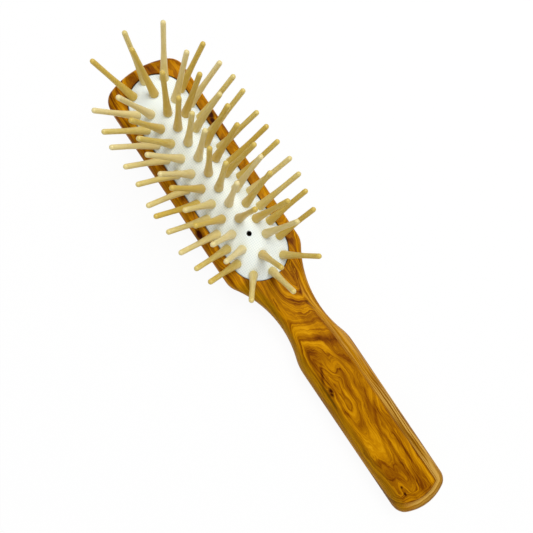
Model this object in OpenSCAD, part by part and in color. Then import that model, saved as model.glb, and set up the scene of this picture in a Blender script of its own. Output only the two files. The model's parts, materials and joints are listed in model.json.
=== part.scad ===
// Wooden pin brush: a one-piece handle, a domed rubber cushion and turned wooden pins.
// Millimetres. X runs from the head to the end of the handle, Y across and Z up.
// The brush lies on its flat back, with the origin in the middle of that face.

/* [Body] */
// Length over everything
length = 213; // [190:1:240]
// Thickness of the board that the body is cut from
thickness = 13; // [12:0.5:16]
// Width of the head
head_w = 35.2; // [33:0.2:42]
// Width of the handle
handle_w = 24.6; // [22:0.2:30]
// Width at the narrowest place of the neck
waist_w = 18; // [14:0.5:20]
// Radius of the arc across the end of the head
head_end_r = 36; // [30:1:60]
// Radius of the two corners of the head
head_corner_r = 7; // [6:0.5:9]
// Radius of the arc across the end of the handle
handle_end_r = 22; // [19:1:40]
// Radius of the two corners of the handle
handle_corner_r = 5; // [4.8:0.2:6]
// Distance from the end of the head to where its straight sides stop
shoulder_from_end = 92; // [90:1:98]
// Radius of the shoulder, where the head turns into the neck
shoulder_r = 9; // [6:1:12]
// Radius of the hollow of the neck
neck_r = 44; // [36:1:50]
// Radius of the hip, where the neck swells into the handle
hip_r = 21; // [14:1:26]
// Rounding of the edges round the head
head_round = 3; // [1:0.25:3.5]
// How far the rounding of the handle reaches in from its sides
handle_round = 4.4; // [2:0.2:4.6]
// How far the rounding of the handle reaches down from its faces
handle_round_h = 5.4; // [2:0.2:5.8]
// How much the top of the handle falls from its middle to its sides
handle_crown = 0.8; // [0:0.1:1.4]

/* [Pocket] */
// Distance from the end of the head to the end of the mouth of the pocket
mouth_from_end = 5.3; // [4:0.1:12]
// Width of the mouth of the pocket
mouth_w = 24.8; // [24:0.2:26]
// Height of the wooden lip over the groove
lip_h = 1.4; // [1:0.1:2]
// How far the groove runs in under the lip
undercut = 1.6; // [1:0.1:2]
// Height of the groove
groove_h = 2.4; // [2:0.1:3]
// Width of the ledge that carries the edge of the cushion
ledge_w = 2.4; // [1.6:0.1:3]
// Thickness of the wood under the pocket
floor_h = 5; // [3:0.5:6]

/* [Cushion] */
// Height of the dome over its edge
dome_rise = 7; // [5:0.25:8]
// Thickness of the rubber with its textile face
rubber_t = 2; // [1.6:0.1:2.4]
// How far the edge of the dome lies below the top of the wood
edge_below = 0.4; // [0:0.1:0.8]
// Half the length of the level middle of the dome
level_half = 17.5; // [5:0.5:25]
// Height of the dome at its very ends, before it rounds down to its edge
end_rise = 2.7; // [2:0.1:5]
// How sharply the dome falls towards its ends
sag_power = 1.6; // [1.4:0.1:3]
// Diameter of the vent hole
vent_d = 2; // [1.5:0.1:3]
// Clearance between the cushion and the wood or the pins
fit = 0.05; // [0.02:0.01:0.1]

/* [Pins] */
// Distance between two pins along a row
pitch = 7.1; // [6.9:0.05:7.3]
// Distance of the outer ring of pins from the middle line
outer_ring = 10.2; // [9.8:0.1:10.4]
// Distance of the two inner rows from the middle line
inner_row = 5.7; // [5.2:0.1:6]
// How far the end pin of the inner ring stands past the last outer pins
inner_end = 2.6; // [2:0.2:3.4]
// Length of a pin above the rubber
pin_length = 25.2; // [18:0.2:28]
// Diameter of the shaft
shaft_d = 2.05; // [1.6:0.05:2.4]
// Diameter of the thick lower end
base_d = 3.8; // [3:0.1:4]
// Height over which the lower end narrows to the shaft
flare_h = 16; // [8:0.5:16]
// Diameter of the neck that the rubber holds
neck_d = 2.2; // [1.6:0.1:2.6]
// Diameter of the foot under the rubber
foot_d = 3.6; // [3:0.1:4]
// Height of the foot
foot_h = 1.4; // [1:0.1:2]
// How deep the lower end presses into the rubber
press_in = 0.3; // [0.25:0.05:0.4]
// Share of the slope of the rubber that a pin follows
lean_share = 0.88; // [0.6:0.02:1]
// Sideways lean of the middle row, in degrees
middle_lean = 6.7; // [0:0.1:8]

/* [Hidden] */
$fn = 48;
side_pins = 11;
inner_pins = side_pins - 1;
end_pins = 3;
middle_pins = 8;
outer_total = 2 * (side_pins + end_pins);
inner_total = 2 * (inner_pins + 1);

head_x = -length / 2;
mouth_r = mouth_w / 2;
straight = (side_pins - 1) * pitch;
pad_x = head_x + mouth_from_end + mouth_r + straight / 2;
edge_z = thickness - edge_below;
groove_top = thickness - lip_h;
groove_z = groove_top - groove_h;
groove_r = mouth_r + undercut;
pocket_r = groove_r - ledge_w;

dome_r = mouth_r - fit;
flange_r = groove_r - fit;
inside_r = dome_r - rubber_t;
edge_slope = 2 * dome_rise / dome_r;
inside_drop = rubber_t * norm([1, edge_slope]) - dome_rise * (1 - pow(inside_r / dome_r, 2));
rubber_neck = rubber_t - 2 * press_in;

// Steps of the arcs and rings that the shaped faces are made of
arc_step = 9;
round_steps = 5;
crown_lines = 3;
dome_rings = 7;
end_steps = 14;
side_steps = 12;

function two_digits(i) = str(i < 10 ? "0" : "", i);

// Smooth change from 0 to 1 between two places
function ease(x, x0, x1) = let (t = max(0, min(1, (x - x0) / (x1 - x0)))) t * t * (3 - 2 * t);

// Outline of one side of the body, from the end of the head to the end of the handle.
// Each of its points is [x, y, outward x, outward y]; turn is -1 where the arc is hollow.
function arc(cx, cy, r, from, to, turn = 1) =
    let (n = ceil(abs(to - from) / arc_step))
    [for (i = [1:n]) let (a = from + (to - from) * i / n)
        [cx + r * cos(a), cy + r * sin(a), turn * cos(a), turn * sin(a)]];
function tangent_run(r, rise) = sqrt(r * r - rise * rise);

shoulder = [head_x + shoulder_from_end, head_w / 2 - shoulder_r];
hollow_y = waist_w / 2 + neck_r;
hollow = [shoulder.x + tangent_run(shoulder_r + neck_r, hollow_y - shoulder.y), hollow_y];
hip_y = handle_w / 2 - hip_r;
hip = [hollow.x + tangent_run(neck_r + hip_r, hollow_y - hip_y), hip_y];
head_end = [head_x + head_end_r, 0];
head_corner_y = head_w / 2 - head_corner_r;
head_corner = [head_end.x - tangent_run(head_end_r - head_corner_r, head_corner_y), head_corner_y];
handle_end = [length / 2 - handle_end_r, 0];
handle_corner_y = handle_w / 2 - handle_corner_r;
handle_corner = [
    handle_end.x + tangent_run(handle_end_r - handle_corner_r, handle_corner_y), handle_corner_y
];
head_angle = atan2(head_corner.y, head_end.x - head_corner.x);
handle_angle = atan2(handle_corner.y, handle_corner.x - handle_end.x);
shoulder_angle = atan2(hollow.y - shoulder.y, hollow.x - shoulder.x);
hip_angle = atan2(hollow.y - hip.y, hollow.x - hip.x);

side = concat(
    [[head_x, 0, -1, 0]],
    arc(head_end.x, 0, head_end_r, 180, 180 - head_angle),
    arc(head_corner.x, head_corner.y, head_corner_r, 180 - head_angle, 90),
    [for (t = [0.25, 0.5, 0.75]) [head_corner.x + t * (shoulder.x - head_corner.x), head_w / 2, 0, 1]],
    [[shoulder.x, head_w / 2, 0, 1]],
    arc(shoulder.x, shoulder.y, shoulder_r, 90, shoulder_angle),
    arc(hollow.x, hollow.y, neck_r, shoulder_angle + 180, hip_angle + 180, -1),
    arc(hip.x, hip.y, hip_r, hip_angle, 90),
    [for (t = [0.33, 0.67, 1]) [hip.x + t * (handle_corner.x - hip.x), handle_w / 2, 0, 1]],
    arc(handle_corner.x, handle_corner.y, handle_corner_r, 90, handle_angle),
    arc(handle_end.x, 0, handle_end_r, handle_angle, 0)
);
side_n = len(side);
outline = concat(side, [for (i = [side_n - 2:-1:1]) let (p = side[i]) [p.x, -p.y, p[2], -p[3]]]);
outline_n = len(outline);

// How much a place along the brush belongs to the handle, from 0 to 1
function handle_share(x) = ease(x, shoulder.x, hip.x);
function top_z(x, y) = thickness - handle_crown * handle_share(x) * pow(2 * y / handle_w, 2);
// A point of the rounded edge, at an angle from 0 on the wall to 90 on the face
function edge_point(p, angle, top) =
    let (
        share = handle_share(p.x),
        round_in = head_round + share * (handle_round - head_round),
        round_down = head_round + share * (handle_round_h - head_round),
        x = p.x - p[2] * round_in * (1 - cos(angle)),
        y = p.y - p[3] * round_in * (1 - cos(angle)),
        drop = round_down * (1 - sin(angle))
    )
    [x, y, top ? top_z(x, y) - drop : drop];

// Faces between rings of n points each, from the lower ring to the upper one
function ring_faces(n, rings) = [
    for (r = [0:rings - 2], i = [0:n - 1])
        let (a = r * n + i, b = r * n + (i + 1) % n)
        each [[a, a + n, b + n], [a, b + n, b]]
];

module body_block() {
    angles = [for (i = [0:round_steps]) 90 * i / round_steps];
    bottom = [for (i = [round_steps:-1:0]) [for (p = outline) edge_point(p, angles[i], false)]];
    upper = [for (a = angles) [for (p = outline) edge_point(p, a, true)]];
    rings = concat(bottom, upper);
    top = upper[round_steps];
    // Lines of points across the crown, between each pair of opposite edge points
    crown = [
        for (j = [1:crown_lines], i = [1:side_n - 2])
            let (y = top[i].y * (1 - 2 * j / (crown_lines + 1)))
            [top[i].x, y, top_z(top[i].x, y)]
    ];
    first = (len(rings) - 1) * outline_n;
    crown_first = first + outline_n;
    function line(j, i) =
        j == 0 ? first + i
        : j == crown_lines + 1 ? first + outline_n - i
        : crown_first + (j - 1) * (side_n - 2) + i - 1;
    last = side_n - 1;
    crown_faces = [
        for (j = [0:crown_lines]) each concat(
            [[first, line(j + 1, 1), line(j, 1)]],
            [for (i = [1:last - 2]) each [
                [line(j, i), line(j + 1, i), line(j + 1, i + 1)],
                [line(j, i), line(j + 1, i + 1), line(j, i + 1)]
            ]],
            [[first + last, line(j, last - 1), line(j + 1, last - 1)]]
        )
    ];
    back_faces = [
        [0, 1, outline_n - 1],
        for (i = [1:last - 2]) each [
            [i, i + 1, outline_n - i - 1],
            [i, outline_n - i - 1, outline_n - i]
        ],
        [last - 1, last, last + 1]
    ];
    polyhedron(
        points = concat([for (ring = rings) each ring], crown),
        faces = concat(ring_faces(outline_n, len(rings)), crown_faces, back_faces)
    );
}

module stadium(r) {
    square([straight, 2 * r], center = true);
    for (s = [-1, 1]) translate([s * straight / 2, 0]) circle(r, $fn = 96);
}

module brush_body() {
    color("#b87814")
        difference() {
            body_block();
            translate([pad_x, 0, floor_h]) linear_extrude(thickness) stadium(pocket_r);
            translate([pad_x, 0, groove_z]) linear_extrude(groove_h) stadium(groove_r);
            translate([pad_x, 0, groove_z]) linear_extrude(thickness) stadium(mouth_r);
        }
}

// Height of the dome's ridge over its edge, at a distance from the middle of the cushion
function ridge(x) =
    let (t = max(0, abs(x) - level_half) / (straight / 2 + dome_r - level_half))
    dome_rise - (dome_rise - end_rise) * pow(t, sag_power);
// Distance of a place from the middle line, or from its end where the place lies past it
function from_line(x, y) = norm([max(0, abs(x) - straight / 2), y]);
function dome_z(x, y) = edge_z + ridge(x) * (1 - pow(from_line(x, y) / dome_r, 2));
function inside_z(x, y) =
    edge_z - inside_drop + (ridge(x) - rubber_t + inside_drop) * (1 - pow(from_line(x, y) / inside_r, 2));

// Stations round the cushion: [x on the middle line, outward angle]
side_x = [for (i = [1:side_steps - 1]) straight / 2 * (1 - 2 * i / side_steps)];
stations = concat(
    [for (i = [0:end_steps]) [straight / 2, 180 * i / end_steps - 90]],
    [for (x = side_x) [x, 90]],
    [for (i = [0:end_steps]) [-straight / 2, 180 * i / end_steps + 90]],
    [for (i = [side_steps - 2:-1:0]) [side_x[i], 270]]
);
station_n = len(stations);
function station_point(s, r) = [s[0] + r * cos(s[1]), r * sin(s[1])];

module cushion_skin() {
    smallest = 0.05;
    shares = [for (i = [0:dome_rings]) smallest + (1 - smallest) * i / dome_rings];
    function dome_ring(share) =
        [for (s = stations) let (p = station_point(s, share * dome_r)) [p.x, p.y, dome_z(p.x, p.y)]];
    function inside_ring(share) =
        [for (s = stations) let (p = station_point(s, share * inside_r)) [p.x, p.y, inside_z(p.x, p.y)]];
    function level_ring(r, z) = [for (s = stations) let (p = station_point(s, r)) [p.x, p.y, z]];
    rings = concat(
        [for (share = shares) inside_ring(share)],
        [
            level_ring(inside_r, groove_z + fit),
            level_ring(flange_r, groove_z + fit),
            level_ring(flange_r, groove_top - fit),
            level_ring(dome_r, groove_top - fit)
        ],
        [for (i = [dome_rings:-1:0]) dome_ring(shares[i])]
    );
    // The strip along the middle line closes a skin: across its sides, and as a fan at each end
    far = end_steps + side_steps;
    function strip(first, up) = [
        for (i = [0:side_steps - 1])
            let (
                a = first + end_steps + i,
                b = a + 1,
                d = first + (station_n - i) % station_n,
                c = first + (station_n - i - 1) % station_n
            )
            each (up ? [[a, c, b], [a, d, c]] : [[a, b, c], [a, c, d]]),
        for (start = [0, far], i = [1:end_steps - 1])
            let (a = first + start, b = first + start + i, c = first + start + i + 1)
            up ? [a, c, b] : [a, b, c]
    ];
    polyhedron(
        points = [for (ring = rings) each ring],
        faces = concat(
            ring_faces(station_n, len(rings)),
            strip(0, false),
            strip((len(rings) - 1) * station_n, true)
        )
    );
}

// Places of the pins on the cushion, [x, y], ring by ring
function end_angles(n) = [for (i = [1:n]) 90 * (i - (n + 1) / 2) / ((n + 1) / 2)];
outer_pins = concat(
    [for (s = [-1, 1], i = [0:side_pins - 1]) [(i - (side_pins - 1) / 2) * pitch, s * outer_ring]],
    [for (s = [-1, 1], a = end_angles(end_pins))
        [s * (straight / 2 + outer_ring * cos(a)), outer_ring * sin(a)]]
);
inner_ring_pins = concat(
    [for (s = [-1, 1], i = [0:inner_pins - 1]) [(i - (inner_pins - 1) / 2) * pitch, s * inner_row]],
    [for (s = [-1, 1]) [s * (straight / 2 + inner_end), 0]]
);
middle_row_pins = [for (i = [1:middle_pins]) [i * pitch - straight / 2, 0]];
vent_x = (middle_pins + 1) * pitch - straight / 2;
all_pins = concat(
    [for (p = outer_pins) [p.x, p.y, 0]],
    [for (p = inner_ring_pins) [p.x, p.y, 0]],
    [for (p = middle_row_pins) [p.x, p.y, tan(middle_lean)]]
);

// Puts what it is given on the dome at a pin's place, standing as that pin does
module on_dome(p) {
    probe = 0.01;
    lean_x = lean_share * (dome_z(p.x - probe, p.y) - dome_z(p.x + probe, p.y)) / (2 * probe);
    lean_y = lean_share * (dome_z(p.x, p.y - probe) - dome_z(p.x, p.y + probe)) / (2 * probe) + p[2];
    translate([pad_x + p.x, p.y, dome_z(p.x, p.y)])
        rotate([0, atan(norm([lean_x, lean_y])), atan2(lean_y, lean_x)])
            translate([0, 0, -press_in]) children();
}

// The room that the rubber leaves for a pin: seat of the base, neck and seat of the foot
module pin_room() {
    reach = 3;
    rotate_extrude()
        polygon([
            [0, -rubber_neck - reach],
            [foot_d / 2 + fit, -rubber_neck - reach],
            [foot_d / 2 + fit, -rubber_neck + fit],
            [neck_d / 2 + fit, -rubber_neck + fit],
            [neck_d / 2 + fit, -fit],
            [base_d / 2 + fit, -fit],
            [base_d / 2 + fit, reach],
            [0, reach]
        ]);
}

module cushion() {
    color("#eef6f2")
        difference() {
            translate([pad_x, 0, 0]) cushion_skin();
            for (p = all_pins) on_dome(p) pin_room();
            translate([pad_x + vent_x, 0, floor_h]) cylinder(d = vent_d, h = thickness + dome_rise);
        }
}

module pin() {
    base_round = 0.5;
    foot_chamfer = 0.3;
    flare_steps = 9;
    tip_steps = 5;
    flare_power = 1.7;
    shaft_r = shaft_d / 2;
    base_r = base_d / 2;
    tip_z = pin_length + press_in - shaft_r;
    foot_z = -rubber_neck - foot_h;
    flare = [
        for (i = [0:flare_steps]) let (t = i / flare_steps)
            [shaft_r + (base_r - shaft_r) * pow(1 - t, flare_power), base_round + t * flare_h]
    ];
    tip = [for (i = [0:tip_steps]) let (a = 90 * i / tip_steps) [shaft_r * cos(a), tip_z + shaft_r * sin(a)]];
    rotate_extrude(convexity = 4)
        polygon(concat(
            [
                [0, foot_z],
                [foot_d / 2 - foot_chamfer, foot_z],
                [foot_d / 2, foot_z + foot_chamfer],
                [foot_d / 2, -rubber_neck],
                [neck_d / 2, -rubber_neck],
                [neck_d / 2, 0],
                [base_r - base_round, 0],
                [base_r - base_round * (1 - cos(45)), base_round * (1 - sin(45))]
            ],
            flare,
            [for (i = [0:tip_steps - 1]) tip[i]],
            [[0, tip_z + shaft_r]]
        ));
}

module wooden_pin(p) {
    color("#d8bd78") on_dome(p) pin();
}

brush_body();
cushion();
for (i = [1:outer_total])
    wooden_pin(all_pins[i - 1]);
for (i = [1:inner_total])
    wooden_pin(all_pins[outer_total + i - 1]);
for (i = [1:middle_pins])
    wooden_pin(all_pins[outer_total + inner_total + i - 1]);
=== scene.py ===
import json
import math
import random

import bmesh
import bpy
from mathutils import Matrix, Vector

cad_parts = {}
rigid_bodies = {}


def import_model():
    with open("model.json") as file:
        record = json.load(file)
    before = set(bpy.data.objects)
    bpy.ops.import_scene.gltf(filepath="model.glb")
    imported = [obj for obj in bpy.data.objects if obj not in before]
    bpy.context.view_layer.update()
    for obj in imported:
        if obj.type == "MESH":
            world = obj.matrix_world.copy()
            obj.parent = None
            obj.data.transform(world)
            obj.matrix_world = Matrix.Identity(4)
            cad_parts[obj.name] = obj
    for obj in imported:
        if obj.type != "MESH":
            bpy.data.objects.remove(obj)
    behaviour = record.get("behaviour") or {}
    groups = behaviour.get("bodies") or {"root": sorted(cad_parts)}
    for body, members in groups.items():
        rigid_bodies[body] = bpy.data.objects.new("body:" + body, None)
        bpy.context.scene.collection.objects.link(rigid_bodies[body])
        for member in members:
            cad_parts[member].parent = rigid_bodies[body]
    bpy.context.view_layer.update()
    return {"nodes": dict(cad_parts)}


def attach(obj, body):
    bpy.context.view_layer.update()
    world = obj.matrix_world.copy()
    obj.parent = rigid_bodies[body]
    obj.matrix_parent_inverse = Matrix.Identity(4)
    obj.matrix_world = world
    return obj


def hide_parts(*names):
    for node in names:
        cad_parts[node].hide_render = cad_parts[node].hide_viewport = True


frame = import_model()
scene = bpy.context.scene
mm = 0.001
print("frame loaded:", len(frame["nodes"]), "nodes")


def ease(x, start, end):
    t = min(1, max(0, (x - start) / (end - start)))
    return t * t * (3 - 2 * t)


def linear(hexCode):
    parts = [int(hexCode[i : i + 2], 16) / 255 for i in (1, 3, 5)]
    return [p / 12.92 if p <= 0.04045 else ((p + 0.055) / 1.055) ** 2.4 for p in parts] + [1]


def addNode(tree, kind, inputs=None, stops=None, **settings):
    node = tree.nodes.new("ShaderNode" + kind)
    for name, value in settings.items():
        setattr(node, name, value)
    for name, value in (inputs or {}).items():
        if isinstance(value, bpy.types.NodeSocket):
            tree.links.new(value, node.inputs[name])
        else:
            node.inputs[name].default_value = value
    for i, (place, colour) in enumerate(stops or []):
        stop = node.color_ramp.elements[i] if i < 2 else node.color_ramp.elements.new(place)
        stop.position = place
        stop.color = linear(colour) if isinstance(colour, str) else (colour, colour, colour, 1)
    return node


def newMaterial(name):
    material = bpy.data.materials.new(name)
    material.use_nodes = True
    material.node_tree.nodes.clear()
    return material, material.node_tree


def deselect():
    if bpy.context.mode != "OBJECT":
        bpy.ops.object.mode_set(mode="OBJECT")
    bpy.ops.object.select_all(action="DESELECT")


def placeRing(piece, places):
    grid = bmesh.from_edit_mesh(piece.data)
    station = grid.verts.layers.int["station"]
    for corner in grid.verts:
        if corner.select:
            corner.co = [c * mm for c in places[corner[station]]]
    bmesh.update_edit_mesh(piece.data)


# A circle that is pulled up ring by ring, each ring on its own places, and closed at both ends
def loftRings(name, rings, crease=35):
    deselect()
    bpy.ops.mesh.primitive_circle_add(vertices=len(rings[0]), radius=0.01)
    piece = bpy.context.object
    piece.name = piece.data.name = name
    station = piece.data.attributes.new("station", "INT", "POINT")
    for i in range(len(rings[0])):
        station.data[i].value = i
    bpy.ops.object.mode_set(mode="EDIT")
    bpy.ops.mesh.select_mode(type="VERT")
    bpy.ops.mesh.select_all(action="SELECT")
    placeRing(piece, rings[0])
    for places in rings[1:]:
        bpy.ops.mesh.extrude_edges_move()
        placeRing(piece, places)
    bpy.ops.mesh.select_all(action="SELECT")
    bpy.ops.mesh.remove_doubles(threshold=0.002 * mm)
    bpy.ops.mesh.dissolve_degenerate(threshold=0.001 * mm)
    bpy.ops.mesh.normals_make_consistent(inside=False)
    bpy.ops.object.mode_set(mode="OBJECT")
    piece.data.attributes.remove(piece.data.attributes["station"])
    bpy.ops.object.shade_smooth_by_angle(angle=math.radians(crease))
    return piece


def cutWith(piece, cutter):
    deselect()
    piece.select_set(True)
    bpy.context.view_layer.objects.active = piece
    bpy.ops.object.modifier_add(type="BOOLEAN")
    cut = piece.modifiers[-1]
    cut.operation, cut.solver, cut.object = "DIFFERENCE", "EXACT", cutter
    bpy.ops.object.modifier_apply(modifier=cut.name)
    bpy.data.objects.remove(cutter)


# The wooden body, and the pocket that is routed in its head
body = {
    "length": 213,
    "thickness": 13,
    "headWidth": 35.2,
    "handleWidth": 24.6,
    "waist": 18,
    "headEndR": 36,
    "headCornerR": 7,
    "handleEndR": 22,
    "handleCornerR": 5,
    "shoulderFromEnd": 92,
    "shoulderR": 9,
    "neckR": 44,
    "hipR": 21,
    "headRound": 3,
    "handleRound": 4.4,
    "handleRoundDown": 5.4,
    "crown": 0.8,
    "roundSteps": 10,
    "capSteps": 14,
}
pocket = {
    "mouthFromEnd": 5.3,
    "mouthR": 12.4,
    "lip": 1.4,
    "undercut": 1.6,
    "groove": 2.4,
    "ledge": 2.4,
    "floor": 5,
    "straight": 71,
    "easedEdge": 0.25,
}
headX = -body["length"] / 2
padX = headX + pocket["mouthFromEnd"] + pocket["mouthR"] + pocket["straight"] / 2
grooveTop = body["thickness"] - pocket["lip"]
grooveZ = grooveTop - pocket["groove"]


def arcPoints(x, y, r, start, end, turn=1):
    count = math.ceil(abs(end - start) / 3)
    points = []
    for i in range(1, count + 1):
        a = math.radians(start + (end - start) * i / count)
        points.append((x + r * math.cos(a), y + r * math.sin(a), turn * math.cos(a), turn * math.sin(a)))
    return points


def tangentRun(r, rise):
    return math.sqrt(r * r - rise * rise)


def angleOf(run, rise):
    return math.degrees(math.atan2(rise, run))


shoulder = (headX + body["shoulderFromEnd"], body["headWidth"] / 2 - body["shoulderR"])
hollowY = body["waist"] / 2 + body["neckR"]
hollowX = shoulder[0] + tangentRun(body["shoulderR"] + body["neckR"], hollowY - shoulder[1])
hipY = body["handleWidth"] / 2 - body["hipR"]
hipX = hollowX + tangentRun(body["neckR"] + body["hipR"], hollowY - hipY)


# Half the outline, from the end of the head to the end of the handle: x, y, and the way out
def sideOutline():
    headEnd = headX + body["headEndR"]
    cornerY = body["headWidth"] / 2 - body["headCornerR"]
    cornerX = headEnd - tangentRun(body["headEndR"] - body["headCornerR"], cornerY)
    headAngle = angleOf(headEnd - cornerX, cornerY)
    tailEnd = body["length"] / 2 - body["handleEndR"]
    tailY = body["handleWidth"] / 2 - body["handleCornerR"]
    tailX = tailEnd + tangentRun(body["handleEndR"] - body["handleCornerR"], tailY)
    tailAngle = angleOf(tailX - tailEnd, tailY)
    shoulderAngle = angleOf(hollowX - shoulder[0], hollowY - shoulder[1])
    hipAngle = angleOf(hollowX - hipX, hollowY - hipY)
    line = [(headX, 0, -1, 0)]
    line += arcPoints(headEnd, 0, body["headEndR"], 180, 180 - headAngle)
    line += arcPoints(cornerX, cornerY, body["headCornerR"], 180 - headAngle, 90)
    line += [(cornerX + (shoulder[0] - cornerX) * i / 70, body["headWidth"] / 2, 0, 1) for i in range(1, 71)]
    line += arcPoints(*shoulder, body["shoulderR"], 90, shoulderAngle)
    line += arcPoints(hollowX, hollowY, body["neckR"], shoulderAngle + 180, hipAngle + 180, -1)
    line += arcPoints(hipX, hipY, body["hipR"], hipAngle, 90)
    line += [(hipX + (tailX - hipX) * i / 50, body["handleWidth"] / 2, 0, 1) for i in range(1, 51)]
    line += arcPoints(tailX, tailY, body["handleCornerR"], 90, tailAngle)
    line += arcPoints(tailEnd, 0, body["handleEndR"], tailAngle, 0)
    return line


def handleShare(x):
    return ease(x, shoulder[0], hipX)


def topZ(x, y):
    return body["thickness"] - body["crown"] * handleShare(x) * (2 * y / body["handleWidth"]) ** 2


def edgePoint(p, angle, top):
    share = handleShare(p[0])
    roundIn = body["headRound"] + share * (body["handleRound"] - body["headRound"])
    roundDown = body["headRound"] + share * (body["handleRoundDown"] - body["headRound"])
    inset = roundIn * (1 - math.cos(math.radians(angle)))
    drop = roundDown * (1 - math.sin(math.radians(angle)))
    x, y = p[0] - p[2] * inset, p[1] - p[3] * inset
    return x, y, topZ(x, y) - drop if top else drop


def capPoint(p, share, top):
    x, y, z = edgePoint(p, 90, top)
    spineX = min(max(x, headX + 15), body["length"] / 2 - 11)
    x, y = spineX + (x - spineX) * share, y * share
    return x, y, topZ(x, y) if top else 0


def buildBody():
    side = sideOutline()
    outline = side + [(x, -y, nx, -ny) for x, y, nx, ny in side[-2:0:-1]]
    caps = [i / body["capSteps"] for i in range(body["capSteps"])]
    angles = [90 * i / body["roundSteps"] for i in range(body["roundSteps"] + 1)]
    rings = [[capPoint(p, share, False) for p in outline] for share in caps]
    rings += [[edgePoint(p, a, False) for p in outline] for a in reversed(angles)]
    rings += [[edgePoint(p, a, True) for p in outline] for a in angles]
    rings += [[capPoint(p, share, True) for p in outline] for share in reversed(caps)]
    return loftRings("brushBody", rings)


# A long hole with round ends, at each height as wide as its radius there
def stadium(r, z, count=48):
    half = pocket["straight"] / 2
    line = []
    for x, start in ((half, -90), (-half, 90)):
        for i in range(count + 1):
            a = math.radians(start + 180 * i / count)
            line.append((padX + x + r * math.cos(a), r * math.sin(a), z))
    return line


def buildPocket():
    mouthR, top, eased = pocket["mouthR"], body["thickness"], pocket["easedEdge"]
    grooveR = mouthR + pocket["undercut"]
    pocketR = grooveR - pocket["ledge"]
    steps = [
        (0.01, pocket["floor"]),
        (pocketR, pocket["floor"]),
        (pocketR, grooveZ),
        (grooveR, grooveZ),
        (grooveR, grooveTop),
        (mouthR, grooveTop),
        (mouthR, top - eased),
        (mouthR + 0.3 * eased, top - 0.3 * eased),
        (mouthR + eased, top),
        (mouthR + eased, top + 2),
        (0.01, top + 2),
    ]
    return loftRings("pocketCut", [stadium(*step) for step in steps])


brushBody = buildBody()
cutWith(brushBody, buildPocket())
bpy.ops.object.shade_smooth_by_angle(angle=math.radians(35))
print("body:", len(brushBody.data.polygons), "faces")

# The rubber dome, with its edge in the groove of the pocket, and the pins that stand on it
dome = {
    "rise": 7,
    "rubber": 2,
    "edgeBelow": 0.4,
    "levelHalf": 17.5,
    "endRise": 2.7,
    "sagPower": 1.6,
    "vent": 2,
    "fit": 0.05,
    "rings": 34,
    "sideSteps": 170,
    "endSteps": 80,
    "dimple": 0.25,
    "pucker": 0.16,
}
pins = {
    "pitch": 7.1,
    "outerRing": 10.2,
    "innerRow": 5.7,
    "innerEnd": 2.6,
    "length": 25.2,
    "shaft": 2.05,
    "base": 3.8,
    "flare": 16,
    "flarePower": 1.7,
    "neck": 2.2,
    "foot": 3.6,
    "footHeight": 1.4,
    "baseRound": 0.5,
    "pressIn": 0.3,
    "leanShare": 0.88,
    "middleLean": 6.7,
    "sides": 24,
    "tipSteps": 6,
    "askewAlong": 4.5,
    "askewAcross": 3.3,
    "palest": 0.05,
    "darkest": 1,
}
halfStraight = pocket["straight"] / 2
domeR = pocket["mouthR"] - dome["fit"]
insideR = domeR - dome["rubber"]
edgeZ = body["thickness"] - dome["edgeBelow"]
ventX = 4 * pins["pitch"]


def ridge(x):
    t = max(0, abs(x) - dome["levelHalf"]) / (halfStraight + domeR - dome["levelHalf"])
    return dome["rise"] - (dome["rise"] - dome["endRise"]) * t ** dome["sagPower"]


def fromLine(x, y):
    return math.hypot(max(0, abs(x) - halfStraight), y)


def domeZ(x, y):
    return edgeZ + ridge(x) * (1 - (fromLine(x, y) / domeR) ** 2)


# Places of the pins on the cushion, in the order of the CAD nodes: name, x, y, and the sway of the middle row
def pinPlaces():
    pitch, ring = pins["pitch"], pins["outerRing"]
    outer = [((i - 5) * pitch, s * ring) for s in (-1, 1) for i in range(11)]
    for s in (-1, 1):
        for a in (math.radians(-45), 0, math.radians(45)):
            outer.append((s * (halfStraight + ring * math.cos(a)), ring * math.sin(a)))
    inner = [((i - 4.5) * pitch, s * pins["innerRow"]) for s in (-1, 1) for i in range(10)]
    inner += [(s * (halfStraight + pins["innerEnd"]), 0) for s in (-1, 1)]
    middle = [(i * pitch - halfStraight, 0) for i in range(1, 9)]
    sway = math.tan(math.radians(pins["middleLean"]))
    places = [("pin_outer_%02d" % (i + 1), x, y, 0) for i, (x, y) in enumerate(outer)]
    places += [("pin_inner_%02d" % (i + 1), x, y, 0) for i, (x, y) in enumerate(inner)]
    return places + [("pin_middle_%d" % (i + 1), x, y, sway) for i, (x, y) in enumerate(middle)]


# Where a pin stands on the dome, and the way that it points
def pinStand(x, y, sway):
    probe = 0.01
    share = pins["leanShare"] / (2 * probe)
    leanX = share * (domeZ(x - probe, y) - domeZ(x + probe, y))
    leanY = share * (domeZ(x, y - probe) - domeZ(x, y + probe)) + sway
    return Vector((padX + x, y, domeZ(x, y))), Vector((leanX, leanY, 1)).normalized()


allPins = [(name, *pinStand(x, y, sway)) for name, x, y, sway in pinPlaces()]


# The skin gives a little under each pin and puckers between the pins and the lip
def softSkin(x, y):
    place = Vector((padX + x, y, domeZ(x, y)))
    give = 0
    for name, stand, way in allPins:
        off = place - stand
        if abs(off.x) < 4 and abs(off.y) < 4:
            off -= way * off.dot(way)
            give = max(give, 1 - ease(off.length, pins["base"] / 2 - 0.1, pins["base"] / 2 + 1.1))
    r = fromLine(x, y) / domeR
    wave = math.cos(2 * math.pi * x / pins["pitch"]) if abs(x) < halfStraight else 0
    rim = ease(r, 0.8, 0.93) * (1 - ease(r, 0.93, 1))
    return place.z - dome["dimple"] * give + dome["pucker"] * wave * rim


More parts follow.
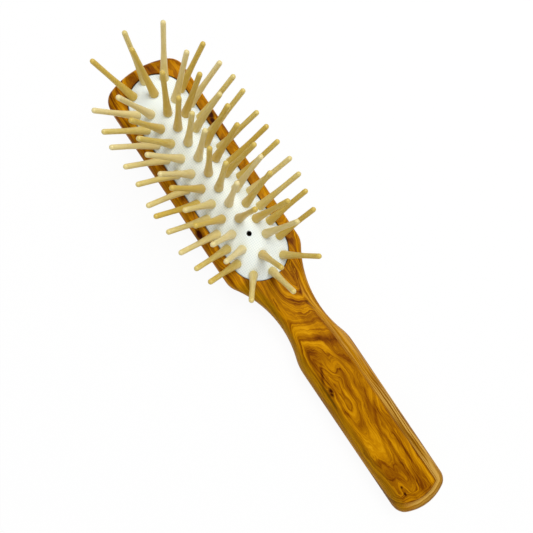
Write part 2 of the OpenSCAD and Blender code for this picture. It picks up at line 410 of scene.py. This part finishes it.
def buildCushion():
    stations = []
    for start, x in ((-90, halfStraight), (90, -halfStraight)):
        stations += [(x, start + 180 * i / dome["endSteps"]) for i in range(dome["endSteps"] + 1)]
        step = 2 * x / dome["sideSteps"]
        stations += [(x - step * i, start + 180) for i in range(1, dome["sideSteps"])]

    def ring(r, height):
        line = []
        for cx, a in stations:
            x, y = cx + r * math.cos(math.radians(a)), r * math.sin(math.radians(a))
            line.append((padX + x, y, height(x, y) if callable(height) else height))
        return line

    flangeR = pocket["mouthR"] + pocket["undercut"] - dome["fit"]
    slope = math.hypot(1, 2 * dome["rise"] / domeR)
    drop = dome["rubber"] * slope - dome["rise"] * (1 - (insideR / domeR) ** 2)

    def insideZ(x, y):
        return edgeZ - drop + (ridge(x) - dome["rubber"] + drop) * (1 - (fromLine(x, y) / insideR) ** 2)

    rings = [ring(insideR * i / 8, insideZ) for i in range(9)]
    rings += [ring(r, z) for r, z in (
        (insideR, grooveZ + dome["fit"]),
        (flangeR, grooveZ + dome["fit"]),
        (flangeR, grooveTop - dome["fit"]),
        (domeR, grooveTop - dome["fit"]),
        (domeR, edgeZ - 0.35),
    )]
    shares = [1 - 0.004, 1 - 0.014] + [1 - i / dome["rings"] for i in range(1, dome["rings"] + 1)]
    rings += [ring(domeR * share, softSkin) for share in shares]
    return loftRings("domedCushion", rings, crease=50)


def buildVentCut():
    deselect()
    bpy.ops.mesh.primitive_cylinder_add(
        vertices=32,
        radius=dome["vent"] / 2 * mm,
        depth=12 * mm,
        location=((padX + ventX) * mm, 0, 20 * mm),
    )
    return bpy.context.object


cushion = buildCushion()
cutWith(cushion, buildVentCut())
bpy.ops.object.shade_smooth_by_angle(angle=math.radians(50))
print("cushion:", len(cushion.data.polygons), "faces")


# One pin, turned from its half profile, with its foot at the bottom
def buildPin():
    shaftR, baseR, edge = pins["shaft"] / 2, pins["base"] / 2, pins["baseRound"]
    neckBelow = dome["rubber"] - 2 * pins["pressIn"]
    footZ = -neckBelow - pins["footHeight"]
    tipZ = pins["length"] + pins["pressIn"] - shaftR
    profile = [
        (0, footZ),
        (pins["foot"] / 2 - 0.3, footZ),
        (pins["foot"] / 2, footZ + 0.3),
        (pins["foot"] / 2, -neckBelow),
        (pins["neck"] / 2, -neckBelow),
        (pins["neck"] / 2, 0),
        (baseR - edge, 0),
        (baseR - edge * 0.617, edge * 0.076),
        (baseR - edge * 0.293, edge * 0.293),
        (baseR - edge * 0.076, edge * 0.617),
    ]
    for i in range(11):
        t = i / 10
        profile.append((shaftR + (baseR - shaftR) * (1 - t) ** pins["flarePower"], edge + t * pins["flare"]))
    for i in range(pins["tipSteps"] + 1):
        a = math.radians(90 * i / pins["tipSteps"])
        profile.append((shaftR * math.cos(a), tipZ + shaftR * math.sin(a)))
    turns = [2 * math.pi * i / pins["sides"] for i in range(pins["sides"])]
    rings = [[(r * math.cos(a), r * math.sin(a), z) for a in turns] for r, z in profile]
    pin = loftRings("turnedPin", rings, crease=40)
    # The place on the pin itself, so that its grain runs along it however it stands
    own = pin.data.attributes.new("onPin", "FLOAT_VECTOR", "POINT")
    for corner, value in zip(pin.data.vertices, own.data):
        value.vector = corner.co / mm
    return pin


# Each pin stands a few degrees askew and has its own shade, by seeded chance
def standPins(pattern):
    chance = random.Random(7)
    standing = []
    for name, stand, way in allPins:
        piece = pattern.copy()
        piece.data = pattern.data.copy()
        piece.name = piece.data.name = name.replace("_", "") + "Turned"
        scene.collection.objects.link(piece)
        along = math.radians(chance.uniform(-1, 1) * pins["askewAlong"])
        across = math.radians(chance.uniform(-1, 1) * pins["askewAcross"])
        lean = way / way.z + Vector((math.tan(along), math.tan(across), 0))
        turn = lean.to_track_quat("Z", "Y").to_matrix().to_4x4()
        spin = Matrix.Rotation(chance.uniform(0, 2 * math.pi), 4, "Z")
        seat = Matrix.Translation((stand - lean.normalized() * pins["pressIn"]) * mm)
        piece.data.transform(seat @ turn @ spin)
        tone = piece.data.attributes.new("tone", "FLOAT", "POINT")
        shade = chance.uniform(pins["palest"], pins["darkest"])
        for value in tone.data:
            value.value = shade
        standing.append((piece, name))
    bpy.data.objects.remove(pattern)
    return standing


turnedPins = standPins(buildPin())
print("pins:", len(turnedPins))


# The figure of the board as a growth level at each place: nested arrowheads that open toward the handle's
# end, then long streaks along the handle, with a bundle of lines along its upper edge. A curve is a few x, y.
# A swell or streak is x, y, its reach along and across, its strength and, for a streak, its tilt in degrees.
# A knot is x, y and radius. All were placed one by one.
figure = {
    "bundle": [(-20, 12), (-5, 7), (8, 5), (20, 5.8), (30, 6.6), (45, 7.1), (60, 7.5), (106, 7.9)],
    "middle": [(-20, -5), (12, -6.6), (30, -6.6), (44, -5), (70, -5.5), (95, -4.2), (106, -4)],
    "lowerEdge": [(-15, 13), (-5, 10.2), (5, 9), (15, 9.3), (28, 11), (40, 12.3), (106, 12.3)],
    "heart": 44,
    "rimWidth": 4.4,
    "endWidth": 5,
    "turnFrom": 85,
    "endGrain": 0.12,
    "swells": [
        (37.5, -2.5, 3, 1.5, 1.5), (41, 0.8, 4, 1.8, -1.3), (33, 3.5, 5, 2, 1.2), (47, 1.5, 5, 2.5, 1),
        (54, -4, 5, 2.5, -1.2), (45.8, -7.5, 2.2, 1.2, 3), (80, -6.5, 8, 1.6, 1.5), (70, 3, 9, 1.4, -0.8),
        (96, -4.8, 7, 1.6, 1.6),
    ],
    "streaks": [
        (25.8, 2, 4, 0.9, 0.35, 62), (38.5, -7, 4.5, 0.5, 0.7, -27), (48, -9.3, 6, 0.45, 0.8, 0),
        (56.3, -7.3, 2.2, 0.5, 0.6, 20), (62.5, 2.6, 4.5, 0.6, 0.5, -22), (75, -1.6, 8, 0.7, 0.5, -12),
        (85, 4.1, 15, 0.5, 0.6, 0), (92, 0.6, 8, 0.5, 0.4, 3), (90, -12.7, 9, 0.6, 0.4, 3),
    ],
    "calmHeart": (40, 1.5, 9, 5, 0.35),
    "calmNeck": (-5, -3, 10, 6, 0.5),
    "knots": [
        (45.4, -7.4, 1), (46.9, -7.9, 0.85), (93.2, -5.6, 0.6), (96.2, -5.9, 0.7), (-74.7, 14.6, 1.4),
        (-71.7, 14, 1.1), (-35.7, -16.2, 1.7), (-40, -14.2, 0.8),
    ],
}
# How fast the level rises: in three stretches from the heart toward the head, from the heart toward the end
# of the handle, where the lines turn with the end, and in the pale strip at the edge
rise = {
    "near": 0.22,
    "far": 0.6,
    "stretch": 16,
    "head": 0.04,
    "headFrom": 12,
    "handle": 0.12,
    "roundness": 1.6,
    "turn": 2.6,
    "stripLevel": 22,
    "strip": 2,
    "stripAtEnd": 1.1,
    "stripDepth": 0.45,
}


# A smooth curve through a few points
def curveAt(points, x):
    if x <= points[0][0]:
        return points[0][1]
    for (x0, y0), (x1, y1) in zip(points, points[1:]):
        if x <= x1:
            return y0 + (y1 - y0) * ease(x, x0, x1)
    return points[-1][1]


# A soft hill of its own reach along and across, tilted in degrees
def bump(x, y, cx, cy, rx, ry, height, tilt=0):
    if abs(x - cx) > 3 * max(rx, ry):
        return 0
    turn = math.radians(tilt)
    along = (x - cx) * math.cos(turn) + (y - cy) * math.sin(turn)
    across = (y - cy) * math.cos(turn) - (x - cx) * math.sin(turn)
    return height * math.exp(-((along / rx) ** 2) - (across / ry) ** 2)


# How far a place lies in from the rounded end of the handle
def fromEnd(x, y):
    return body["handleEndR"] - math.hypot(x - body["length"] / 2 + body["handleEndR"], y)


# How far a place lies in from the upper edge of the handle, or from the end where the strip turns round it
def fromRim(x, y):
    fromSide = curveAt(figure["bundle"], x) + figure["rimWidth"] - y
    if x <= figure["turnFrom"]:
        return fromSide
    return min(fromSide, fromEnd(x, y) * figure["rimWidth"] / figure["endWidth"])


def growthAt(x, y, z):
    edge, centre = curveAt(figure["bundle"], x), curveAt(figure["middle"], x)
    side = min(y, edge) - centre
    past = x - figure["heart"]
    if past < 0:
        reach = rise["stretch"]
        along = rise["near"] * min(-past, reach) + rise["far"] * min(max(0, -past - reach), reach)
        along += rise["head"] * max(0, rise["headFrom"] - x)
        power = 1
        neck = ease(-x, -12, 0) * (1 - ease(-x, 10, 30))
        rising = 0.36 + 0.26 * ease(x, 28, figure["heart"]) + 0.76 * neck
        across = side * (rising if side > 0 else 1.5 - 0.5 * ease(-x, 0, 30))
    else:
        along, power = rise["handle"] * past, rise["roundness"]
        rising = 0.62 + 0.25 * min(1, past / 20)
        across = abs(side) * (rising if side > 0 else 1.5 - 0.7 * min(1, past / 30))
        if x > figure["turnFrom"]:
            fromTurn = fromEnd(x, y) - figure["endWidth"]
            across = max(across, rising * (edge - centre - rise["turn"] * fromTurn))
    level = (along**power + abs(across) ** power) ** (1 / power)
    level += sum(bump(x, y, *swell) for swell in figure["swells"])
    inward, rim = fromRim(x, y), figure["rimWidth"]
    strip = (1 - ease(inward, rim - 0.9, rim + 0.5)) * ease(x, -20, -5)
    falling = rise["strip"] - (rise["strip"] - rise["stripAtEnd"]) * ease(x, 97, 103)
    return level + strip * (rise["stripLevel"] - falling * inward + rise["stripDepth"] * z - level)


# What the wood's material reads at each place, beside the growth level: shares of brown streaks, pale sapwood
# with a painted sheen on the upper flank, an olive tinge, calm stretches of the figure, and painted shade
# inside the pocket
def writeFigure(piece):
    names = ("growth", "brown", "sapwoodAndSheen", "olive", "calm", "paintedSeamShade")
    for name in names:
        piece.data.attributes.new(name, "FLOAT", "POINT")
    parts = [piece.data.attributes[name].data for name in names]
    for corner, level, brown, sapwoodAndSheen, olive, calm, paintedSeamShade in zip(piece.data.vertices, *parts):
        x, y, z = corner.co / mm
        inward = fromRim(x, y) - figure["rimWidth"]
        level.value = growthAt(x, y, z)
        brown.value = sum(bump(x, y, *streak) for streak in figure["streaks"])
        brown.value += 0.4 * ease(x, -12, 0) * math.exp(-(((inward - 0.3) / 0.6) ** 2))
        brown.value += figure["endGrain"] * (1 - ease(x, headX + 6, headX + 22))
        # Painted sheen: the upper flank (y > 0) and the strip along the upper edge are paled, partly as
        # sapwood and partly as the sheen that the light leaves there
        flank = ease(body["thickness"] - z, 0.4, 2) if y > 0 else 0
        rim = (1 - ease(inward, -0.3, 0.5)) * ease(x, 0, 20) * ease(y, -11, -3)
        sapwoodAndSheenShare = 0.75 - 0.3 * ease(x, 10, 20) + 0.55 * ease(x, 45, 65)
        sapwoodAndSheen.value = sapwoodAndSheenShare * max(rim, flank * ease(x, -16, -6))
        brim = 1 - ease(curveAt(figure["lowerEdge"], x) + y, 1.2, 2.4)
        brim *= ease(x, -14, -4) * (1 - ease(x, 30, 50))
        olive.value = max(ease(-y, 7, 10.5) * ease(x, 5, 25), 1.4 * brim)
        calm.value = (0.3 + bump(x, y, *figure["calmHeart"])) * ease(x, 10, 25)
        calm.value += bump(x, y, *figure["calmNeck"]) + 0.4 * brim
        # Painted shade: the walls inside the pocket mouth, above half the floor's depth, are darkened
        inMouth = fromLine(x - padX, y) < pocket["mouthR"] + 0.6 * pocket["easedEdge"]
        paintedSeamShade.value = 1 if inMouth and 0.5 * pocket["floor"] < z < body["thickness"] else 0


# Lines of the wood: noise over the growth level and, slowly, over the length of the board
def linesOn(tree, onLevel, scale, detail, roughness, start=(0, 0, 0)):
    along = addNode(tree, "Mapping", {"Vector": onLevel, "Scale": scale, "Location": start}).outputs[0]
    lines = {"Vector": along, "Scale": 1, "Detail": detail, "Roughness": roughness}
    return addNode(tree, "TexNoise", lines, noise_dimensions="2D").outputs["Fac"]


# Olive wood, sanded and lacquered to a satin shine. The eye sees honey gold with wavy brown growth lines,
# darker at the heart of the figure, fine fibres along the board and a few black knots. Pattern sizes are real
# millimetres.
def lacqueredOliveWood():
    material, tree = newMaterial("lacqueredOliveWood")
    place = addNode(tree, "TexCoord").outputs["Object"]
    inMm = addNode(tree, "Mapping", {"Vector": place, "Scale": (1000, 1000, 1000)}).outputs[0]
    apart = addNode(tree, "SeparateXYZ", {0: inMm}).outputs
    growth = addNode(tree, "Attribute", attribute_name="growth").outputs["Fac"]
    brown = addNode(tree, "Attribute", attribute_name="brown").outputs["Fac"]
    slow = addNode(tree, "Mapping", {"Vector": inMm, "Scale": (0.07, 0.18, 0.18)}).outputs[0]
    warp = {"Vector": slow, "Scale": 1, "Detail": 3, "Roughness": 0.55}
    warp = addNode(tree, "TexNoise", warp).outputs["Fac"]
    waved = addNode(tree, "Math", {0: warp, 1: 4.4, 2: growth}, operation="MULTIPLY_ADD").outputs[0]
    sunk = addNode(tree, "Math", {0: apart["Z"], 1: -0.9, 2: waved}, operation="MULTIPLY_ADD").outputs[0]
    level = addNode(tree, "Math", {0: sunk, 1: 12.5}, operation="ADD").outputs[0]
    onLevel = addNode(tree, "CombineXYZ", {"X": level, "Y": apart["X"]}).outputs[0]
    broad = linesOn(tree, onLevel, (0.55, 0.02, 1), 2.5, 0.5)
    fine = linesOn(tree, onLevel, (2.3, 0.09, 1), 2, 0.6)
    calm = addNode(tree, "Attribute", attribute_name="calm").outputs["Fac"]
    broad = addNode(tree, "Mix", {0: calm, 2: broad, 3: 0.48}).outputs[0]
    sapLines = linesOn(tree, onLevel, (0.55, 0.045, 1), 0.6, 0.5, start=(0, 2, 0))
    ripple = addNode(tree, "Math", {0: level, 1: 2.2}, operation="MULTIPLY").outputs[0]
    ripple = addNode(tree, "Math", {0: ripple}, operation="SINE").outputs[0]
    sapLines = addNode(tree, "Math", {0: ripple, 1: 0.13, 2: sapLines}, operation="MULTIPLY_ADD").outputs[0]
    wide = {"Vector": inMm, "Scale": (0.05, 0.22, 0.22), "Location": (3, 1, 0)}
    wide = addNode(tree, "Mapping", wide).outputs[0]
    patch = addNode(tree, "TexNoise", {"Vector": wide, "Scale": 1, "Detail": 2}).outputs["Fac"]
    thin = addNode(tree, "Mapping", {"Vector": inMm, "Scale": (0.25, 3.2, 3.2)}).outputs[0]
    fibre = {"Vector": thin, "Scale": 1, "Detail": 2, "Roughness": 0.6}
    fibre = addNode(tree, "TexNoise", fibre).outputs["Fac"]
    shade = broad
    for part, share in ((fine, 0.58), (patch, 0.45), (fibre, 0.1), (brown, -0.42)):
        shade = addNode(tree, "Math", {0: part, 1: share, 2: shade}, operation="MULTIPLY_ADD").outputs[0]
    spread = addNode(tree, "MapRange", {"Value": shade, "From Min": 0.68, "From Max": 1.62}).outputs[0]
    tone = addNode(
        tree,
        "ValToRGB",
        {"Fac": spread},
        stops=[
            (0.02, "#4c2200"),
            (0.21, "#804300"),
            (0.38, "#a46700"),
            (0.53, "#c38200"),
            (0.69, "#d8990a"),
            (0.93, "#e2a228"),
        ],
    ).outputs[0]
    # Tan tones of the pale strip: sapwood with a painted sheen
    sapwoodSheenStops = [(0.34, "#7a4e08"), (0.46, "#a87a20"), (0.6, "#dab058")]
    sapwoodSheenTone = addNode(tree, "ValToRGB", {"Fac": sapLines}, stops=sapwoodSheenStops).outputs[0]
    olive, shadow = linear("#9c8000"), linear("#241206")
    # Mixed over the wood: pale sapwood with a painted sheen, the olive tinge, and painted shade inside the
    # pocket
    for name, share, colour in (("sapwoodAndSheen", 0.7, sapwoodSheenTone), ("olive", 0.25, olive), ("paintedSeamShade", 0.85, shadow)):
        part = addNode(tree, "Attribute", attribute_name=name).outputs["Fac"]
        part = addNode(tree, "Math", {0: part, 1: share}, operation="MULTIPLY").outputs[0]
        tone = addNode(tree, "Mix", {"Factor": part, 6: tone, 7: colour}, data_type="RGBA").outputs[2]
    knots = knotShare(tree, inMm, warp)
    wood = addNode(tree, "Mix", {"Factor": knots, 6: tone, 7: linear("#3c1000")}, data_type="RGBA").outputs[2]
    grain = addNode(tree, "Bump", {"Height": fibre, "Strength": 0.3, "Distance": 0.03 * mm}).outputs[0]
    shader = addNode(
        tree,
        "BsdfPrincipled",
        {"Base Color": wood, "Roughness": 0.38, "Specular IOR Level": 0.03, "Normal": grain},
    )
    addNode(tree, "OutputMaterial", {"Surface": shader.outputs[0]})
    return material


# Small dark knots, longer along the board than across it, with ragged edges
def knotShare(tree, inMm, ragged):
    flat = addNode(tree, "Mapping", {"Vector": inMm, "Scale": (0.6, 1, 0)}).outputs[0]
    total = None
    for x, y, r in figure["knots"]:
        away = {0: flat, 1: (0.6 * x, y, 0)}
        away = addNode(tree, "VectorMath", away, operation="DISTANCE").outputs["Value"]
        away = addNode(tree, "Math", {0: ragged, 1: 2 * r, 2: away}, operation="MULTIPLY_ADD").outputs[0]
        near = {"Value": away, "From Min": 1.5 * r, "From Max": 2.2 * r, "To Min": 1, "To Max": 0}
        near = addNode(tree, "MapRange", near).outputs[0]
        if total:
            near = addNode(tree, "Math", {0: total, 1: near}, operation="MAXIMUM").outputs[0]
        total = near
    return total


# Moulded rubber with a fine woven face. The eye sees a cool white with a faint cloth texture.
def textileFacedRubber():
    material, tree = newMaterial("textileFacedRubber")
    place = addNode(tree, "TexCoord").outputs["Object"]
    inMm = addNode(tree, "Mapping", {"Vector": place, "Scale": (1000, 1000, 1000)}).outputs[0]
    # The real threads are about 0.5 mm apart; they are drawn coarser so that they show in a small picture
    thread = 0.84
    bands = {"Vector": inMm, "Scale": 2 * math.pi / (20 * thread), "Distortion": 0.4, "Detail": 1}
    along = addNode(tree, "TexWave", bands, bands_direction="Y").outputs["Fac"]
    across = addNode(tree, "TexWave", bands, bands_direction="X").outputs["Fac"]
    weave = addNode(tree, "Math", {0: along, 1: across}, operation="ADD").outputs[0]
    cloud = addNode(tree, "TexNoise", {"Vector": inMm, "Scale": 0.3, "Detail": 4}).outputs["Fac"]
    mottle = addNode(tree, "Math", {0: cloud, 1: 0.25, 2: weave}, operation="MULTIPLY_ADD").outputs[0]
    mottle = addNode(tree, "Math", {0: mottle, 1: 0.4}, operation="MULTIPLY").outputs[0]
    whites = [(0, "#e0ece9"), (0.5, "#f5fefc"), (1, "#ffffff")]
    tone = addNode(tree, "ValToRGB", {"Fac": mottle}, stops=whites).outputs[0]
    # Painted shade in the seam under the lip and inside the vent hole
    paintedSeamShade = addNode(tree, "Attribute", attribute_name="paintedSeamShade").outputs["Fac"]
    tone = addNode(tree, "Mix", {"Factor": paintedSeamShade, 6: tone, 7: linear("#3a3024")}, data_type="RGBA").outputs[2]
    cloth = addNode(tree, "Bump", {"Height": weave, "Strength": 0.35, "Distance": 0.05 * mm}).outputs[0]
    shader = addNode(
        tree,
        "BsdfPrincipled",
        {"Base Color": tone, "Roughness": 0.8, "Sheen Weight": 0.1, "Normal": cloth},
    )
    addNode(tree, "OutputMaterial", {"Surface": shader.outputs[0]})
    return material


# Turned hornbeam, sanded and left plain. The eye sees pale straw with fine streaks along each pin, and some
# pins darker than others.
def turnedHornbeam():
    material, tree = newMaterial("turnedHornbeam")
    place = addNode(tree, "Attribute", attribute_name="onPin").outputs["Vector"]
    own = addNode(tree, "Attribute", attribute_name="tone").outputs["Fac"]
    shift = addNode(tree, "CombineXYZ", {"X": own, "Y": own, "Z": own}).outputs[0]
    apart = {0: shift, 1: (40, 40, 40), 2: place}
    apart = addNode(tree, "VectorMath", apart, operation="MULTIPLY_ADD").outputs[0]
    thin = addNode(tree, "Mapping", {"Vector": apart, "Scale": (1.4, 1.4, 0.25)}).outputs[0]
    streak = {"Vector": thin, "Scale": 1, "Detail": 4, "Roughness": 0.7}
    streak = addNode(tree, "TexNoise", streak).outputs["Fac"]
    dim = addNode(tree, "Math", {0: streak, 1: 1.1, 2: own}, operation="MULTIPLY_ADD").outputs[0]
    dim = addNode(tree, "Math", {0: dim, 1: -0.3}, operation="ADD").outputs[0]
    tone = addNode(
        tree,
        "ValToRGB",
        {"Fac": dim},
        stops=[(0.35, "#e8d79a"), (0.7, "#deca7e"), (0.95, "#d6be62"), (1, "#d2b450")],
    ).outputs[0]
    shader = addNode(tree, "BsdfPrincipled", {"Base Color": tone, "Roughness": 0.33})
    addNode(tree, "OutputMaterial", {"Surface": shader.outputs[0]})
    return material


# Painted shade: a dark line where the rubber runs in under the lip, and dark inside the vent hole
def writePaintedSeamShade(piece):
    paintedSeamShade = piece.data.attributes.new("paintedSeamShade", "FLOAT", "POINT")
    for corner, share in zip(piece.data.vertices, paintedSeamShade.data):
        x, y = corner.co.x / mm - padX, corner.co.y / mm
        inVent = math.hypot(x - ventX, y) < 0.51 * dome["vent"]
        edge = (0.8 - 0.5 * ease(x, 30, 45)) * ease(fromLine(x, y) / domeR, 0.965, 0.99)
        share.value = 0.9 if inVent else edge


writeFigure(brushBody)
writePaintedSeamShade(cushion)
pinFinish = turnedHornbeam()
dressed = [(brushBody, "brush_body", "olive_wood", lacqueredOliveWood())]
dressed.append((cushion, "cushion", "white_rubber", textileFacedRubber()))
dressed += [(piece, name, "pin_wood", pinFinish) for piece, name in turnedPins]
for piece, node, slot, finish in dressed:
    piece.data.materials.clear()
    piece.data.materials.append(finish)
    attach(piece, "root")
    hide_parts(node)
print("finishes set")


# The floor is white to the camera and keeps a faint shadow
def whiteFloor():
    material, tree = newMaterial("palePaintedFloor")
    paint = addNode(tree, "BsdfDiffuse", {"Color": linear("#fafafa")}).outputs[0]
    white = addNode(tree, "Emission", {"Color": (1, 1, 1, 1), "Strength": 1}).outputs[0]
    rays = addNode(tree, "LightPath").outputs
    seen = addNode(tree, "Math", {0: rays["Is Camera Ray"], 1: 0.93}, operation="MULTIPLY").outputs[0]
    mix = addNode(tree, "MixShader", {0: seen, 1: paint, 2: white})
    addNode(tree, "OutputMaterial", {"Surface": mix.outputs[0]})
    return material


deselect()
bpy.ops.mesh.primitive_plane_add(size=4)
floor = bpy.context.object
floor.name = "floor"
floor.data.materials.append(whiteFloor())

world = bpy.data.worlds.new("studio")
scene.world = world
world.use_nodes = True
worldTree = world.node_tree
worldTree.nodes.clear()
soft = addNode(worldTree, "Background", {"Color": (1, 1, 1, 1), "Strength": 0.42}).outputs[0]
plain = addNode(worldTree, "Background", {"Color": (1, 1, 1, 1), "Strength": 1}).outputs[0]
cameraRay = addNode(worldTree, "LightPath").outputs["Is Camera Ray"]
sky = addNode(worldTree, "MixShader", {0: cameraRay, 1: soft, 2: plain}).outputs[0]
addNode(worldTree, "OutputWorld", {"Surface": sky})

lamps = {
    "overhead": {"place": (-0.2, 0.3, 0.85), "size": 0.5, "power": 5.7},
    "fill": {"place": (0.5, -0.6, 0.6), "size": 0.8, "power": 1},
}
for name, lamp in lamps.items():
    light = bpy.data.lights.new(name, "AREA")
    light.size = lamp["size"]
    light.energy = lamp["power"]
    stand = bpy.data.objects.new(name, light)
    stand.location = lamp["place"]
    stand.rotation_euler = (Vector((0, 0, 0)) - stand.location).to_track_quat("-Z", "Y").to_euler()
    scene.collection.objects.link(stand)

# The camera's place and lens in millimetres, and its turn in degrees
shot = {"place": (-10.256, -25.277, 215.001), "turn": (3.905, -5.6681, 55.7911), "lens": 34.231}
lens = bpy.data.cameras.new("photoCamera")
lens.lens = shot["lens"]
lens.sensor_width = 36
lens.clip_start = 0.01
camera = bpy.data.objects.new("photoCamera", lens)
camera.location = [c * mm for c in shot["place"]]
camera.rotation_euler = [math.radians(a) for a in shot["turn"]]
scene.collection.objects.link(camera)
scene.camera = camera
scene.view_settings.view_transform = "Standard"
print("light and camera set")
